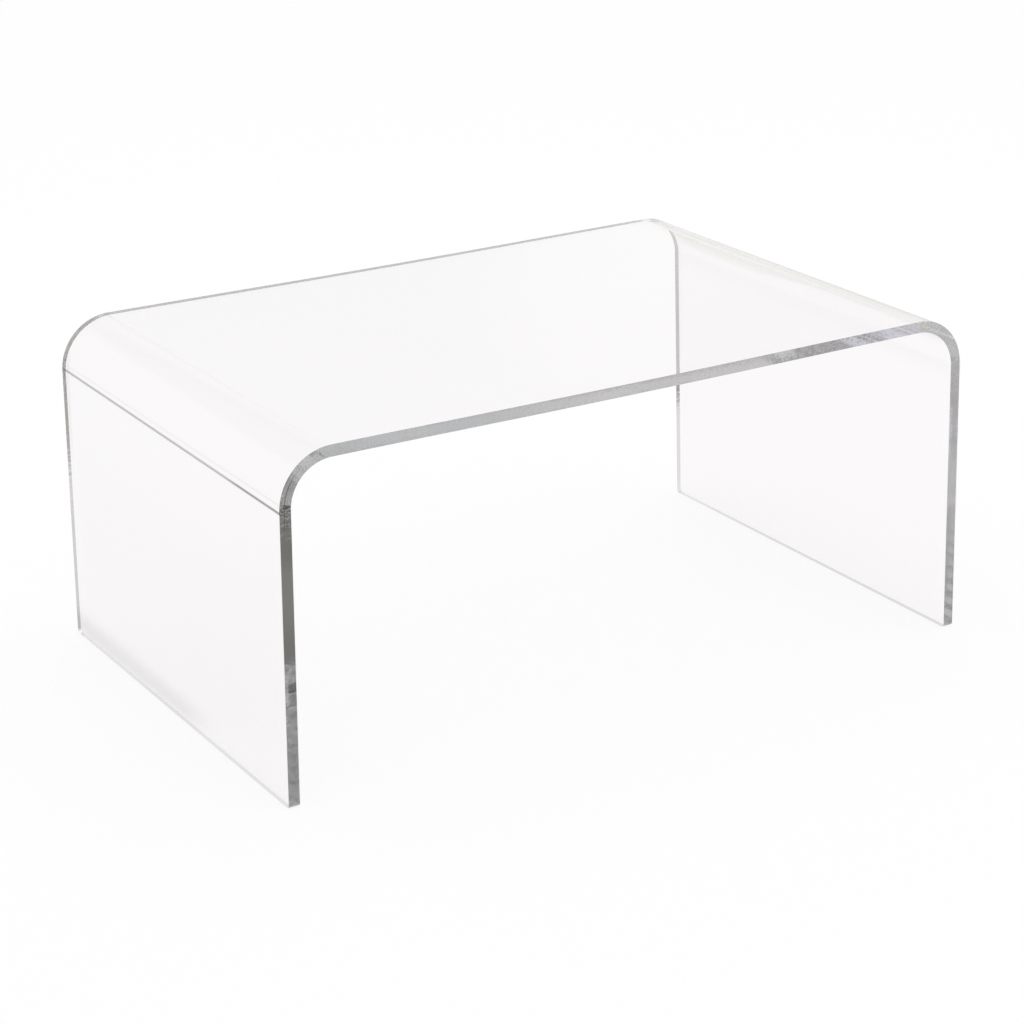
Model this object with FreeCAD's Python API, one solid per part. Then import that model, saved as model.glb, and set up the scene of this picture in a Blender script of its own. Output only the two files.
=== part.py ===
"""Waterfall coffee table: one clear acrylic sheet bent down at both ends, on four small clear pads.

Millimetres, +Z up. The origin is on the floor, under the centre of the top. X runs along the
length from the left leg to the right leg, and the front edge faces -Y.
"""

import FreeCAD, Part
import math
import os

from FreeCAD import Vector

# Overall size: the length is over the feet, and the height is from the floor that the pads stand on
overall_length = 864.0
overall_depth = 546.0
overall_height = 380.0

# The sheet, and how it is formed and finished
sheet_thickness = 12.7
inner_bend_radius = 47.3  # of the former that the hot sheet is laid over
leg_splay_angle = 1.0  # degrees that each leg leans outwards, as the bends spring open when they cool
foot_corner_radius = 4.0  # at the four bottom corners of the legs
edge_ease_radius = 0.8  # polished round on every long edge, left by the flame or the buffing wheel

# Clear self-adhesive pads under the leg edges
pad_diameter = 9.0
pad_thickness = 1.0
pad_rim_radius = 0.6
pad_corner_distance = 30.0  # from the sheet's front or back edge to the middle of the pad

# Where the right bend turns about, seen from the front
splay = math.radians(leg_splay_angle)
outer_bend_radius = inner_bend_radius + sheet_thickness
bend_z = overall_height - outer_bend_radius
leg_spread = (bend_z - pad_thickness) * math.tan(splay)
bend_x = overall_length / 2 - leg_spread - outer_bend_radius / math.cos(splay)

# Largest share of a wall that a rounded edge may take from each side of it
wall_share = 0.4

# Faces that meet at less than this run smoothly into each other, and have no edge to ease
smooth_angle = math.radians(5.0)

# Two positions closer than this are the same
position_tolerance = 1e-4

OUT = "parts"


def at(x, z):
    """A point of the sheet's section, which lies in the front face's plane."""
    return Vector(x, -overall_depth / 2, z)


def line(x1, z1, x2, z2):
    """A straight stretch of the section."""
    return Part.LineSegment(at(x1, z1), at(x2, z2)).toShape()


def arc(centre_x, centre_z, radius, start_angle, end_angle):
    """A bend of the section, from one angle to the other, in degrees from +X towards +Z."""
    angles = (start_angle, (start_angle + end_angle) / 2, end_angle)
    points = [
        at(centre_x + radius * math.cos(math.radians(a)), centre_z + radius * math.sin(math.radians(a)))
        for a in angles
    ]
    return Part.Arc(*points).toShape()


def foot_x(radius):
    """Where the face of the right leg that is bent to this radius meets the leg's flat end."""
    return bend_x + leg_spread + radius / math.cos(splay)


def face_line(radius):
    """The face of the sheet that is bent to this radius, seen from the front, from foot to foot."""
    leg_x = bend_x + radius * math.cos(splay)
    leg_z = bend_z + radius * math.sin(splay)
    top = bend_z + radius
    return [
        line(-foot_x(radius), pad_thickness, -leg_x, leg_z),
        arc(-bend_x, bend_z, radius, 180 - leg_splay_angle, 90),
        line(-bend_x, top, bend_x, top),
        arc(bend_x, bend_z, radius, 90, leg_splay_angle),
        line(leg_x, leg_z, foot_x(radius), pad_thickness),
    ]


def section():
    """The sheet seen from the front: an outer and an inner line with concentric bends."""
    outer, inner = foot_x(outer_bend_radius), foot_x(inner_bend_radius)
    right_foot = line(outer, pad_thickness, inner, pad_thickness)
    left_foot = line(-inner, pad_thickness, -outer, pad_thickness)
    back_to_left = reversed(face_line(inner_bend_radius))
    return Part.Face(Part.Wire([*face_line(outer_bend_radius), right_foot, *back_to_left, left_foot]))


def foot_corners(sheet):
    """The four short edges across the sheet's thickness, at the bottom corners of the legs."""
    corners = []
    for edge in sheet.Edges:
        box = edge.BoundBox
        at_foot = box.ZMax < pad_thickness + position_tolerance
        across_thickness = box.YLength < position_tolerance
        if at_foot and across_thickness:
            corners.append(edge)
    return corners


def meets_sharply(solid, edge):
    """True where the two faces beside an edge turn a corner instead of running on smoothly."""
    middle = edge.valueAt((edge.FirstParameter + edge.LastParameter) / 2)
    one, other = [
        face.normalAt(*face.Surface.parameter(middle))
        for face in solid.ancestorsOfType(edge, Part.Face)
    ]
    return one.getAngle(other) > smooth_angle


def bent_sheet():
    """Top, both bends and both leaning legs, with rounded foot corners and every sharp edge eased."""
    sheet = section().extrude(Vector(0, overall_depth, 0))
    sheet = sheet.makeFillet(foot_corner_radius, foot_corners(sheet))
    ease = min(edge_ease_radius, wall_share * sheet_thickness)
    return sheet.makeFillet(ease, [edge for edge in sheet.Edges if meets_sharply(sheet, edge)])


def foot_pad(x, y):
    """A flat round pad with a rounded lower rim, stuck to the middle of the leg's edge."""
    pad = Part.makeCylinder(pad_diameter / 2, pad_thickness, Vector(x, y, 0))
    lower_rim = [edge for edge in pad.Edges if edge.BoundBox.ZMax < position_tolerance]
    rim = min(pad_rim_radius, 2 * wall_share * pad_thickness)  # only one side of the pad is rounded
    return pad.makeFillet(rim, lower_rim)


def make_parts():
    """Every sub-part by name."""
    pad_x = (foot_x(outer_bend_radius) + foot_x(inner_bend_radius)) / 2
    pad_y = overall_depth / 2 - pad_corner_distance
    parts = {"bent_sheet": bent_sheet()}
    for depth_name, y in (("front", -pad_y), ("back", pad_y)):
        for side_name, x in (("left", -pad_x), ("right", pad_x)):
            parts[f"foot_pad_{depth_name}_{side_name}"] = foot_pad(x, y)
    return parts


os.makedirs(OUT, exist_ok=True)
for name, shape in make_parts().items():
    shape.exportStep(f"{OUT}/{name}.step")
    print(name, f"{shape.Volume / 1e3:.2f} cm3", "valid" if shape.isValid() else "NOT VALID")
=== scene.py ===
"""Waterfall coffee table: the looks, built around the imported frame.

Metres, in the frame of the CAD model: the floor is z = 0, X runs along the length, the front edge faces -Y.
"""

import math

import bpy
from mathutils import Matrix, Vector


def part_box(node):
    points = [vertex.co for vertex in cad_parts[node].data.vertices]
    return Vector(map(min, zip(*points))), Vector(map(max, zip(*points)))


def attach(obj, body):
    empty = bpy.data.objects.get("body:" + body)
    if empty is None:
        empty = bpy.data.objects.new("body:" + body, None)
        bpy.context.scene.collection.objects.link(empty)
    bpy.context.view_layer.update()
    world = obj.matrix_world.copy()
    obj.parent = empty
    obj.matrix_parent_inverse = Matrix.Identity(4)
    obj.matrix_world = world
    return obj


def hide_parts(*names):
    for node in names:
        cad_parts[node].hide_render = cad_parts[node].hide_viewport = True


# Nodes and slots of the record
BODY = "root"
SHEET_NODE = "bent_sheet"
PAD_PREFIX = "foot_pad_"

# The sheet, as it is cut and formed; its overall size comes from the frame
SHEET_THICKNESS = 0.0127
INNER_BEND_RADIUS = 0.0473
LEG_SPLAY = math.radians(1.0)  # each leg leans outwards
FOOT_CORNER_RADIUS = 0.004
EDGE_EASE_RADIUS = 0.0006
TOP_SAG = 0.0015  # the sheet's own weight draws the middle of the top down this far
PAD_CLEARANCE = 0.00002  # keeps the sheet's lower edges off the pads' upper faces

# How finely the sheet is divided
BEND_STEPS = 96
CORNER_STEPS = 8
LEG_STEPS = 8
HALF_TOP_STEPS = 20
EASE_STEPS = 3
SHARP_EDGE_ANGLE = math.radians(60)
BEND_START = CORNER_STEPS + LEG_STEPS  # the station, counted from the foot, where a bend starts

# Clear cast acrylic
ACRYLIC_IOR = 1.491
ACRYLIC_COLOR = (0.98, 0.962, 0.971, 1)
ACRYLIC_ABSORBED_COLOR = (0.12, 0.13, 0.12, 1)
ACRYLIC_ABSORPTION = 0.3  # per metre, seen where light runs along inside the sheet

# Fine relief of the cut edges: long streaks from polishing, and the ripple of the saw under them
POLISH_MARKS = (5.0, 8.0)  # per metre along the edge, and over the thickness of the sheet
SAW_MARKS = (240.0, 1.5)
SAW_MARK_SHARE = 6.0  # height of the ripple against the streaks
MARK_DETAIL = 2.0  # octaves of the noise
EDGE_MARK_DEPTH = 0.00003
BEND_MARK_DEPTH = 0.0001  # in the bends, where the edge was stretched and squeezed
BEND_MARK_GROWTH = (0.0, 0.3)  # the depth grows over this share of the bend, from the top down
CUT_EDGE_NORMAL = (0.8, 0.9)  # how squarely a face looks to the front or back before it counts as cut edge

# Painted reflections on the front cut edge: dark streaks, lines and blocks painted into the colour where the
# edge shows dark reflections, some of them along the saw marks. Each pair is a smooth step: where a mark starts
# to show and where it is full
PAINTED_REFLECTION_COLOR = (0.12, 0.12, 0.115, 1)
MARK_CONTRAST = (0.50, 0.58)  # in the noise that the marks are made of
LEFT_HALF = (0.05, -0.05)  # along X
FRONT_HALF = (0.1, -0.1)  # along Y
BEND_STREAKS = (9.0, 11.0)  # along the left bend's edge, scaled as the streaks above
BEND_STREAKS_ACROSS = (0.85, 0.45)  # from the inner to the outer face
BEND_STREAKS_BENT = (0.35, 0.75)  # from the top to the leg
START_LINES = (260.0, 1.3)  # across the edge, where the left bend starts
START_LINES_BENT = (0.86, 0.94)
LEG_SAW_MARK_REFLECTIONS = (120.0, 1.1)  # across the edge, on the lower half of the left leg
LEG_SAW_MARK_REFLECTIONS_Z = (0.17, 0.15)
TOP_SAW_MARK_REFLECTIONS = (170.0, 3.0)  # at the right end of the top
TOP_SAW_MARK_REFLECTIONS_START_X = (0.14, 0.22)
TOP_SAW_MARK_REFLECTIONS_END_X = (0.36, 0.30)
SAW_MARK_REFLECTION_DARKNESS = 0.4  # against the lines in the bend
LEG_REFLECTION_PATCHES = ((0.1127, 0.1262, 0.50), (0.1272, 0.1388, 0.90))  # painted dark reflections as blocks on the left leg: ends and darkness
PATCH_ACROSS = (0.20, 0.35)  # they leave the part by the outer face free
PATCH_RIM = 0.0008  # height over which a block's ends fade

# A dark line painted across the outside of the left bend, about where the bend starts; its darkening towards the
# front is painted shade
LEFT_BEND_LINE_HALF_WIDTH = 0.003
LEFT_BEND_LINE_RISE = 0.0009  # above the start of the bend, at the middle of the table's depth
LEFT_BEND_LINE_SLANT = 0.0088  # how far the line climbs towards the back, per metre
LEFT_BEND_LINE_WAVER = 0.0006  # how far it strays from straight
LEFT_BEND_LINE_WAVER_SCALE = 60.0
LEFT_BEND_LINE_BACK_COLOR = (0.18, 0.18, 0.17, 1)
LEFT_BEND_LINE_FRONT_SHADE_COLOR = (0.025, 0.025, 0.02, 1)
LEFT_BEND_LINE_FRONT_SHADE = (-0.145, -0.185)  # between these depths it turns to its darker front colour, a painted shade
OUTER_FACE = (0.06, 0.02)  # share of the thickness

# Clear soft plastic of the pads
PAD_COLOR = (0.9, 0.9, 0.88, 1)
PAD_IOR = 1.49
PAD_CLEARNESS = 0.8
PAD_GRAIN_SCALE = 1800.0
PAD_GRAIN_DEPTH = 0.00005
PAD_ROUGHNESS = (0.28, 0.42)

# The studio. The page is what the camera sees, and most of it shines by itself, so that it is white
PAGE_SHADOW_SHARE = 0.12  # how much of the page takes light and shadow
GROUND_COLOR = (0.9, 0.9, 0.9, 1)
FLOOR_HALF = 8.0
SOFTBOX_SIZE = 2.0
SOFTBOX_POWER = 10
SOFTBOX_POSITION = (0.4, 0.3, 2.6)
WHITE = (1, 1, 1, 1)

# Camera, placed where the photographer stood
CAMERA_POSITION = (-1.50854, -2.52236, 1.25728)
CAMERA_YAW = math.radians(30.894)
CAMERA_PITCH = math.radians(20.702)
CAMERA_ROLL = math.radians(-0.985)
CAMERA_LENS_MM = 96.01
CAMERA_SENSOR_MM = 36

# Light that is guided inside the sheet is reflected dozens of times on its way
LIGHT_BOUNCES = 96


def add(tree, kind, inputs=None, **settings):
    """A new node. An input's value is a number, a colour or the socket that it is linked to."""
    made = tree.nodes.new(kind)
    for name, value in settings.items():
        setattr(made, name, value)
    for name, value in (inputs or {}).items():
        if isinstance(value, bpy.types.NodeSocket):
            tree.links.new(value, made.inputs[name])
        else:
            made.inputs[name].default_value = value
    return made


def calculate(tree, operation, *values):
    """The result of a Math node."""
    return add(tree, "ShaderNodeMath", dict(enumerate(values)), operation=operation).outputs[0]


def remap(tree, value, from_min, from_max, to_min=0.0, to_max=1.0):
    """A smooth step from one value to another. It rises as the value falls where from_max is the smaller."""
    inputs = {0: value, 1: from_min, 2: from_max, 3: to_min, 4: to_max}
    return add(tree, "ShaderNodeMapRange", inputs, interpolation_type="SMOOTHSTEP").outputs[0]


def overlap(tree, share, *others):
    """The product of shares: how far all of them apply."""
    for other in others:
        share = calculate(tree, "MULTIPLY", share, other)
    return share


def without(tree, share):
    """What a share leaves."""
    return calculate(tree, "SUBTRACT", 1.0, share)


def mix_color(tree, share, one, other):
    """A mix of two colours."""
    return add(tree, "ShaderNodeMix", {0: share, 6: one, 7: other}, data_type="RGBA").outputs[2]


def new_material(name):
    """A material with an empty node tree and its output."""
    material = bpy.data.materials.new(name)
    material.use_nodes = True
    tree = material.node_tree
    tree.nodes.clear()
    return material, tree, tree.nodes.new("ShaderNodeOutputMaterial")


# ---------------------------------------------------------------- sheet


def half_section(low, high):
    """The left half of the sheet's section, from the foot to the middle of the top.

    Each station is (outer x, outer z, inner x, inner z, inset): the inset is how far the rounded foot
    corner draws the front and back edges in there.
    """
    outer_radius = INNER_BEND_RADIUS + SHEET_THICKNESS
    foot = low.z + PAD_CLEARANCE
    bend_z = high.z - outer_radius
    spread = (bend_z - foot) * math.tan(LEG_SPLAY)
    bend_x = low.x + spread + outer_radius / math.cos(LEG_SPLAY)
    corner = FOOT_CORNER_RADIUS
    stations = []

    def on_leg(z, inset=0.0):
        outside = low.x + (z - foot) * math.tan(LEG_SPLAY)
        stations.append((outside, z, outside + SHEET_THICKNESS / math.cos(LEG_SPLAY), z, inset))

    for step in range(CORNER_STEPS):
        angle = math.pi / 2 * (1 - step / CORNER_STEPS)
        on_leg(foot + corner * (1 - math.sin(angle)), corner * (1 - math.cos(angle)))
    for step in range(LEG_STEPS):
        on_leg(foot + corner + (bend_z - foot - corner) * step / LEG_STEPS)
    for step in range(BEND_STEPS):
        angle = math.pi - LEG_SPLAY - (math.pi / 2 - LEG_SPLAY) * step / BEND_STEPS
        across, up = math.cos(angle), math.sin(angle)
        stations.append((
            bend_x + outer_radius * across, bend_z + outer_radius * up,
            bend_x + INNER_BEND_RADIUS * across, bend_z + INNER_BEND_RADIUS * up, 0.0,
        ))
    for step in range(HALF_TOP_STEPS + 1):
        share = 1 - step / HALF_TOP_STEPS
        x = bend_x * share
        z = high.z - TOP_SAG * (1 - share ** 2) ** 2
        stations.append((x, z, x, z - SHEET_THICKNESS, 0.0))
    return stations


def sheet_stations(low, high):
    """The whole section: the left half, then its mirror image without the shared middle."""
    left = half_section(low, high)
    right = [(-ox, oz, -ix, iz, inset) for ox, oz, ix, iz, inset in reversed(left[:-1])]
    return left + right


def bend_share(index, count):
    """How near a station of either bend is to the leg: 1 at the leg, 0 at the top and outside the bends."""
    step = min(index, count - 1 - index) - BEND_START
    return 1 - step / BEND_STEPS if 0 <= step <= BEND_STEPS else 0.0


def sheet_mesh(low, high):
    """The sheet's mesh, with a sharp ring of four points at each station, and the length along its outside where
    the left bend starts."""
    half_depth = (high.y - low.y) / 2
    stations = sheet_stations(low, high)
    points, along, bent = [], [], []
    travelled = 0.0
    for index, (ox, oz, ix, iz, inset) in enumerate(stations):
        y = half_depth - inset
        points += [(ox, -y, oz), (ox, y, oz), (ix, y, iz), (ix, -y, iz)]
        if index:
            before = stations[index - 1]
            travelled += math.hypot(ox - before[0], oz - before[1])
        along += [travelled] * 4
        bent += [bend_share(index, len(stations))] * 4
    across = [0.0, 0.0, 1.0, 1.0] * len(stations)
    faces = [(0, 1, 2, 3)]
    for ring in range(0, len(points) - 4, 4):
        for side in range(4):
            following = (side + 1) % 4
            faces.append((ring + side, ring + 4 + side, ring + 4 + following, ring + following))
    last = len(points) - 4
    faces.append((last + 3, last + 2, last + 1, last))

    mesh = bpy.data.meshes.new("acrylic_sheet")
    mesh.from_pydata(points, [], faces)
    for name, values in (("along", along), ("across", across), ("bent", bent)):
        mesh.attributes.new(name, "FLOAT", "POINT").data.foreach_set("value", values)
    mesh.shade_smooth()
    return mesh, along[4 * BEND_START]


def build_sheet():
    """One clear sheet, with rounded foot corners, bent over both ends and eased along every edge."""
    mesh, bend_start = sheet_mesh(*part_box(SHEET_NODE))
    mesh.materials.append(acrylic(bend_start))
    sheet = bpy.data.objects.new("acrylic_sheet", mesh)
    bpy.context.scene.collection.objects.link(sheet)

    ease = sheet.modifiers.new("eased_edges", "BEVEL")
    ease.width = EDGE_EASE_RADIUS
    ease.segments = EASE_STEPS
    ease.limit_method = "ANGLE"
    ease.angle_limit = SHARP_EDGE_ANGLE
    flat = sheet.modifiers.new("flat_faces", "WEIGHTED_NORMAL")
    flat.keep_sharp = True
    flat.weight = 100

    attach(sheet, BODY)
    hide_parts(SHEET_NODE)


def attribute(tree, name):
    """A number that the mesh holds at each point."""
    return add(tree, "ShaderNodeAttribute", attribute_name=name).outputs["Fac"]


def marks(tree, along, across, scales):
    """Noise that is stretched along and across the cut edge."""
    u = calculate(tree, "MULTIPLY", along, scales[0])
    v = calculate(tree, "MULTIPLY", across, scales[1])
    place = add(tree, "ShaderNodeCombineXYZ", {0: u, 1: v}).outputs[0]
    return add(tree, "ShaderNodeTexNoise", {"Vector": place, "Scale": 1.0, "Detail": MARK_DETAIL}).outputs[0]


def on_cut_edge(tree):
    """1 on the cut front and back edges, 0 on the faces."""
    normal = add(tree, "ShaderNodeNewGeometry").outputs["Normal"]
    facing = calculate(tree, "ABSOLUTE", add(tree, "ShaderNodeSeparateXYZ", {0: normal}).outputs["Y"])
    return remap(tree, facing, *CUT_EDGE_NORMAL)


def edge_relief(tree, along, across):
    """The relief of the cut edges: long polished streaks over a faint ripple of the saw."""
    ripple = marks(tree, along, across, SAW_MARKS)
    height = calculate(tree, "MULTIPLY_ADD", ripple, SAW_MARK_SHARE, marks(tree, along, across, POLISH_MARKS))
    relief = remap(tree, attribute(tree, "bent"), *BEND_MARK_GROWTH, EDGE_MARK_DEPTH, BEND_MARK_DEPTH)
    return add(tree, "ShaderNodeBump", {
        "Height": height, "Strength": on_cut_edge(tree), "Distance": relief,
    }).outputs[0]


def painted_edge_reflections(tree, along, across, x, y, z):
    """How dark the painted reflections on the front cut edge are at a point: dark streaks along the left bend,
    two blocks on the left leg and faint lines along the saw marks, all painted into the colour as dark
    reflections."""
    left = remap(tree, x, *LEFT_HALF)
    bent = attribute(tree, "bent")

    def lines(scales, *places):
        return overlap(tree, remap(tree, marks(tree, along, across, scales), *MARK_CONTRAST), *places)

    def patch(low, high, darkness):
        rises = remap(tree, z, low, low + PATCH_RIM)
        ends = remap(tree, z, high, high - PATCH_RIM, 0.0, darkness)
        return overlap(tree, left, remap(tree, across, *PATCH_ACROSS), rises, ends)

    shares = [
        lines(BEND_STREAKS, left, remap(tree, across, *BEND_STREAKS_ACROSS),
              remap(tree, bent, *BEND_STREAKS_BENT)),
        lines(START_LINES, left, remap(tree, bent, *START_LINES_BENT)),
        lines(LEG_SAW_MARK_REFLECTIONS, left, remap(tree, z, *LEG_SAW_MARK_REFLECTIONS_Z), SAW_MARK_REFLECTION_DARKNESS),
        lines(TOP_SAW_MARK_REFLECTIONS, remap(tree, x, *TOP_SAW_MARK_REFLECTIONS_START_X), remap(tree, x, *TOP_SAW_MARK_REFLECTIONS_END_X),
              SAW_MARK_REFLECTION_DARKNESS),
        *[patch(*place) for place in LEG_REFLECTION_PATCHES],
    ]
    darkness = shares[0]
    for share in shares[1:]:
        darkness = calculate(tree, "MAXIMUM", darkness, share)
    return overlap(tree, darkness, remap(tree, y, *FRONT_HALF), on_cut_edge(tree))


def left_bend_line(tree, along, across, depth, bend_start):
    """How much of the dark line painted across the left bend is at a point, from 0 beside it to 1 on its line.
    """
    place = add(tree, "ShaderNodeTexCoord").outputs["Object"]
    waver = add(tree, "ShaderNodeTexNoise", {
        "Vector": place, "Scale": LEFT_BEND_LINE_WAVER_SCALE, "Detail": 2.0,
    }).outputs[0]
    slanted = calculate(tree, "MULTIPLY_ADD", depth, LEFT_BEND_LINE_SLANT, bend_start + LEFT_BEND_LINE_RISE)
    wandered = calculate(tree, "MULTIPLY_ADD", waver, LEFT_BEND_LINE_WAVER, slanted)
    distance = calculate(tree, "ABSOLUTE", calculate(tree, "SUBTRACT", along, wandered))
    line = remap(tree, distance, LEFT_BEND_LINE_HALF_WIDTH, 0.0)
    return overlap(tree, line, remap(tree, across, *OUTER_FACE))


def acrylic(bend_start):
    """Polished clear acrylic: no colour through the thickness, grey where light runs along the sheet, with
    painted dark reflections on the front cut edge and a dark line painted across the left bend, shaded darker
    towards the front.
    """
    material, tree, output = new_material("polished_acrylic")
    along, across = attribute(tree, "along"), attribute(tree, "across")
    place = add(tree, "ShaderNodeTexCoord").outputs["Object"]
    parts = add(tree, "ShaderNodeSeparateXYZ", {0: place})
    depth = parts.outputs["Y"]
    # The dark line across the left bend, with painted shade that darkens it towards the front
    in_front = remap(tree, depth, *LEFT_BEND_LINE_FRONT_SHADE)
    left_bend_line_color = mix_color(tree, in_front, LEFT_BEND_LINE_BACK_COLOR, LEFT_BEND_LINE_FRONT_SHADE_COLOR)
    mark = left_bend_line(tree, along, across, depth, bend_start)
    # Painted dark reflections on the front cut edge
    darkness = painted_edge_reflections(tree, along, across, parts.outputs["X"], depth, parts.outputs["Z"])
    color = mix_color(tree, darkness, ACRYLIC_COLOR, PAINTED_REFLECTION_COLOR)
    shader = add(tree, "ShaderNodeBsdfPrincipled", {
        "Base Color": mix_color(tree, mark, color, left_bend_line_color),
        "Roughness": 0.0,
        "IOR": ACRYLIC_IOR,
        "Transmission Weight": 1.0,
        "Normal": edge_relief(tree, along, across),
    })
    absorption = add(tree, "ShaderNodeVolumeAbsorption", {
        "Color": ACRYLIC_ABSORBED_COLOR,
        "Density": ACRYLIC_ABSORPTION,
    })
    tree.links.new(shader.outputs[0], output.inputs["Surface"])
    tree.links.new(absorption.outputs[0], output.inputs["Volume"])
    return material


# ---------------------------------------------------------------- pads


def pad_plastic():
    """Clear soft plastic with a fine matt grain."""
    material, tree, output = new_material("soft_clear_plastic")
    place = add(tree, "ShaderNodeTexCoord").outputs["Object"]
    grain = add(tree, "ShaderNodeTexNoise", {
        "Vector": place, "Scale": PAD_GRAIN_SCALE, "Detail": 3.0,
    }).outputs[0]
    relief = add(tree, "ShaderNodeBump", {"Height": grain, "Strength": 0.4, "Distance": PAD_GRAIN_DEPTH})
    shader = add(tree, "ShaderNodeBsdfPrincipled", {
        "Base Color": PAD_COLOR,
        "Roughness": remap(tree, grain, 0.3, 0.7, *PAD_ROUGHNESS),
        "IOR": PAD_IOR,
        "Transmission Weight": PAD_CLEARNESS,
        "Normal": relief.outputs[0],
    })
    tree.links.new(shader.outputs[0], output.inputs["Surface"])
    return material


def dress_pads(nodes, material):
    """The pads keep the shape that the frame gives them."""
    for name, node in nodes.items():
        if name.startswith(PAD_PREFIX):
            node.data.materials.clear()
            node.data.materials.append(material)


# ---------------------------------------------------------------- studio


def reflected(tree, times):
    """1 for a ray that was reflected at least this many times on its way from the camera, and else 0."""
    reflections = add(tree, "ShaderNodeLightPath").outputs["Glossy Depth"]
    return calculate(tree, "GREATER_THAN", reflections, times - 0.5)


def grey(tone, warmth=0.0):
    """A grey, or with some warmth an olive one."""
    return (tone, tone, tone * (1 - warmth), 1)


def zones(tree, value, tone, *changes):
    """A tone that changes at places along a value: each change is its start, its end and the new tone."""
    for start, end, new in changes:
        tone = mix_color(tree, remap(tree, value, start, end), tone, new)
    return tone


# The next four functions are the studio as reflections show it. Places on the floor are in metres, places on the
# walls are parts of the unit direction towards them, and every tone was set against the photograph.


def room_floor(tree, x, y):
    """What the sheet's faces reflect: a pale floor, dimmer to the right, creamy behind the table's right half,
    and darker before the table, with a painted shadow beside the left leg."""
    right = zones(tree, y, grey(0.72), (0.9, 1.2, grey(0.95)))
    tone = zones(tree, x, grey(0.93), (0.38, 0.48, right))
    diagonal = calculate(tree, "ADD", x, y)
    cream = overlap(tree, remap(tree, x, 0.16, 0.26), remap(tree, x, 0.62, 0.45), remap(tree, y, 0.80, 0.70),
                    remap(tree, diagonal, 0.75, 0.81), without(tree, reflected(tree, 2)))
    tone = mix_color(tree, cream, tone, grey(0.45, 0.50))
    # A painted shadow beside the left leg
    beside = overlap(tree, remap(tree, x, -0.465, -0.445), remap(tree, x, -0.12, -0.22),
                     remap(tree, diagonal, -0.52, -0.42))
    tone = mix_color(tree, beside, tone, grey(0.52, 0.03))
    spared = overlap(tree, remap(tree, x, 0.17, 0.27), remap(tree, x, 0.52, 0.44), remap(tree, y, -0.38, -0.30))
    slanted = calculate(tree, "MULTIPLY_ADD", x, -0.25, y)
    front = overlap(tree, remap(tree, slanted, -0.17, -0.25), without(tree, spared))
    return mix_color(tree, front, tone, zones(tree, y, grey(0.26, 0.08), (-0.5, -0.8, grey(0.34, 0.08))))


def lit_floor(tree, x, y, place):
    """Where the light comes from that the sheet guides along inside: a dim floor left of the table, a brighter
    and patchy one behind it and to the right, and the brightest one under and before it."""
    dim = zones(tree, y, grey(0.195, 0.07), (0.32, 0.42, grey(0.225, 0.08)), (0.52, 0.62, grey(0.165, 0.07)),
                (0.90, 1.40, grey(0.38, 0.03)))
    stripe = zones(tree, x, (0.71, 0.71, 0.77, 1), (0.50, 0.55, grey(0.48)))
    behind = zones(tree, x, (0.58, 0.60, 0.605, 1), (0.50, 0.75, grey(0.67)))
    far = zones(tree, x, grey(0.38), (1.00, 1.15, grey(0.95)))
    bright = zones(tree, y, (0.84, 0.84, 0.92, 1), (0.25, 0.31, grey(0.57)), (0.40, 0.45, stripe),
                   (0.55, 0.60, grey(0.46)), (0.75, 0.85, behind), (1.25, 1.45, far), (1.50, 1.65, grey(0.38)))
    patches = add(tree, "ShaderNodeTexNoise", {"Vector": place, "Scale": 12.0, "Detail": 3.0}).outputs[0]
    bright = add(tree, "ShaderNodeVectorMath", {0: bright, "Scale": remap(tree, patches, 0.3, 0.7, 0.93, 1.07)},
                 operation="SCALE").outputs[0]
    tone = zones(tree, calculate(tree, "MULTIPLY_ADD", y, 0.4, x), dim, (0.02, 0.12, bright))
    under = overlap(tree, remap(tree, y, 0.24, 0.16), remap(tree, x, 0.40, 0.30), remap(tree, x, -0.48, -0.44))
    return mix_color(tree, under, tone, WHITE)


def room_walls(tree, x, z):
    """What the sheet's faces reflect: pale walls, dimmer high up, and creamy low down to the right."""
    right = zones(tree, z, grey(0.96, 0.05), (0.21, 0.25, grey(1.0)), (0.30, 0.34, grey(0.74)))
    tone = zones(tree, z, grey(0.92), (0.42, 0.47, grey(0.78)))
    return zones(tree, x, tone, (0.46, 0.54, right))


def lit_walls(tree, x, z, direction):
    """Where the light comes from that the sheet guides along inside: pale walls up to the backdrop's edge, dim
    and uneven shelves just above it, and a paler ceiling."""
    low = zones(tree, x, grey(0.45), (-0.2, 0.1, grey(0.49)), (0.3, 0.5, grey(0.56)))
    stretched = add(tree, "ShaderNodeVectorMath", {0: direction, 1: (1.5, 1.5, 90.0)},
                    operation="MULTIPLY").outputs[0]
    bands = add(tree, "ShaderNodeTexNoise", {"Vector": stretched, "Scale": 2.0, "Detail": 4.0}).outputs[0]
    shelves = zones(tree, bands, (0.26, 0.27, 0.28, 1), (0.42, 0.58, (0.41, 0.41, 0.405, 1)))
    return zones(tree, z, low, (0.398, 0.408, shelves), (0.45, 0.48, grey(0.60)))


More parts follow.
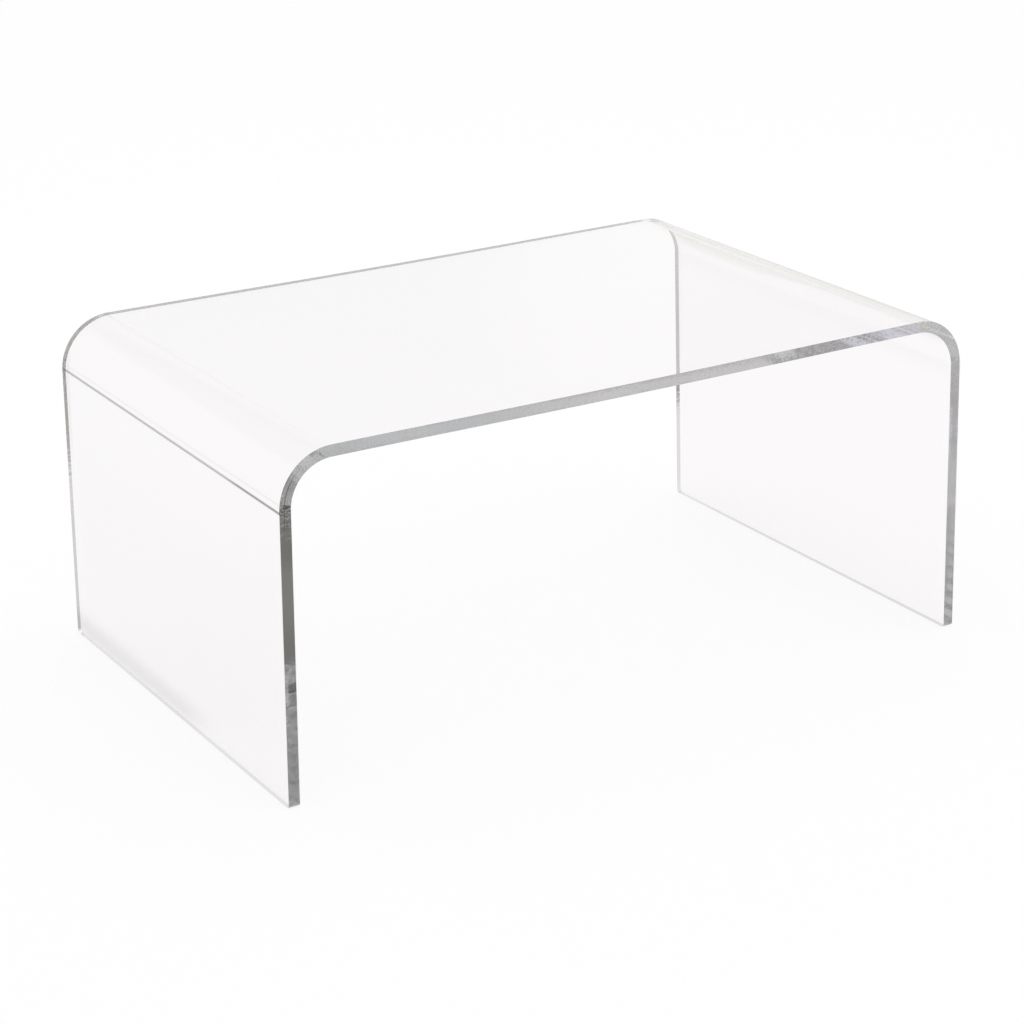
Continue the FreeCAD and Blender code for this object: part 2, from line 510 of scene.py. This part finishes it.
def build_floor():
    """A white page to the camera and straight through the sheet, and in reflections the studio's floor."""
    material, tree, output = new_material("studio_floor")
    place = add(tree, "ShaderNodeNewGeometry").outputs["Position"]
    parts = add(tree, "ShaderNodeSeparateXYZ", {0: place})
    x, y = parts.outputs["X"], parts.outputs["Y"]
    tone = mix_color(tree, reflected(tree, 3), room_floor(tree, x, y), lit_floor(tree, x, y, place))
    studio = add(tree, "ShaderNodeEmission", {"Color": tone})
    page = add(tree, "ShaderNodeEmission", {"Color": WHITE})
    ground = add(tree, "ShaderNodeBsdfDiffuse", {"Color": GROUND_COLOR})
    seen = add(tree, "ShaderNodeMixShader", {0: PAGE_SHADOW_SHARE, 1: page.outputs[0], 2: ground.outputs[0]})
    whole = add(tree, "ShaderNodeMixShader", {0: reflected(tree, 1), 1: seen.outputs[0], 2: studio.outputs[0]})
    tree.links.new(whole.outputs[0], output.inputs["Surface"])

    corners = [(x * FLOOR_HALF, y * FLOOR_HALF, 0) for x, y in ((-1, -1), (1, -1), (1, 1), (-1, 1))]
    mesh = bpy.data.meshes.new("floor")
    mesh.from_pydata(corners, [], [(0, 1, 2, 3)])
    mesh.materials.append(material)
    floor = bpy.data.objects.new("floor", mesh)
    bpy.context.scene.collection.objects.link(floor)


def build_world():
    """A white page round the table, and in reflections the studio's walls."""
    world = bpy.data.worlds.new("studio")
    bpy.context.scene.world = world
    world.use_nodes = True
    tree = world.node_tree
    tree.nodes.clear()
    output = tree.nodes.new("ShaderNodeOutputWorld")
    direction = add(tree, "ShaderNodeTexCoord").outputs["Generated"]
    parts = add(tree, "ShaderNodeSeparateXYZ", {0: direction})
    x, z = parts.outputs["X"], parts.outputs["Z"]
    studio = mix_color(tree, reflected(tree, 3), room_walls(tree, x, z), lit_walls(tree, x, z, direction))
    seen = mix_color(tree, reflected(tree, 1), WHITE, studio)
    background = add(tree, "ShaderNodeBackground", {"Color": seen, "Strength": 1.0})
    tree.links.new(background.outputs[0], output.inputs["Surface"])


def build_softbox():
    """One large soft light overhead."""
    light = bpy.data.lights.new("softbox", "AREA")
    light.shape = "SQUARE"
    light.size = SOFTBOX_SIZE
    light.energy = SOFTBOX_POWER
    lamp = bpy.data.objects.new("softbox", light)
    lamp.matrix_world = Matrix.Translation(SOFTBOX_POSITION)
    bpy.context.scene.collection.objects.link(lamp)


def build_camera():
    """The photographer's view."""
    data = bpy.data.cameras.new("camera")
    data.sensor_width = CAMERA_SENSOR_MM
    data.lens = CAMERA_LENS_MM
    camera = bpy.data.objects.new("camera", data)
    camera.matrix_world = (
        Matrix.Translation(CAMERA_POSITION)
        @ Matrix.Rotation(-CAMERA_YAW, 4, "Z")
        @ Matrix.Rotation(math.pi / 2 - CAMERA_PITCH, 4, "X")
        @ Matrix.Rotation(CAMERA_ROLL, 4, "Z")
    )
    bpy.context.scene.collection.objects.link(camera)
    bpy.context.scene.camera = camera


def set_light_paths():
    """Lets light follow its whole way through the sheet, from edge to edge."""
    scene = bpy.context.scene
    scene.view_settings.view_transform = "Standard"
    scene.cycles.max_bounces = LIGHT_BOUNCES
    scene.cycles.transmission_bounces = LIGHT_BOUNCES
    scene.cycles.glossy_bounces = LIGHT_BOUNCES


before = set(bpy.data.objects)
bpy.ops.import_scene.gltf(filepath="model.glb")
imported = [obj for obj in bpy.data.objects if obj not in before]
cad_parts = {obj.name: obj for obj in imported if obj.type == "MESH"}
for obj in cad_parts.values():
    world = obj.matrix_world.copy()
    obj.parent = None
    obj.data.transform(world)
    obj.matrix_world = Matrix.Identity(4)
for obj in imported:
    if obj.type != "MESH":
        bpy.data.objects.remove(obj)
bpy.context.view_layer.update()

build_sheet()
dress_pads(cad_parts, pad_plastic())
build_floor()
build_world()
build_softbox()
build_camera()
set_light_paths()
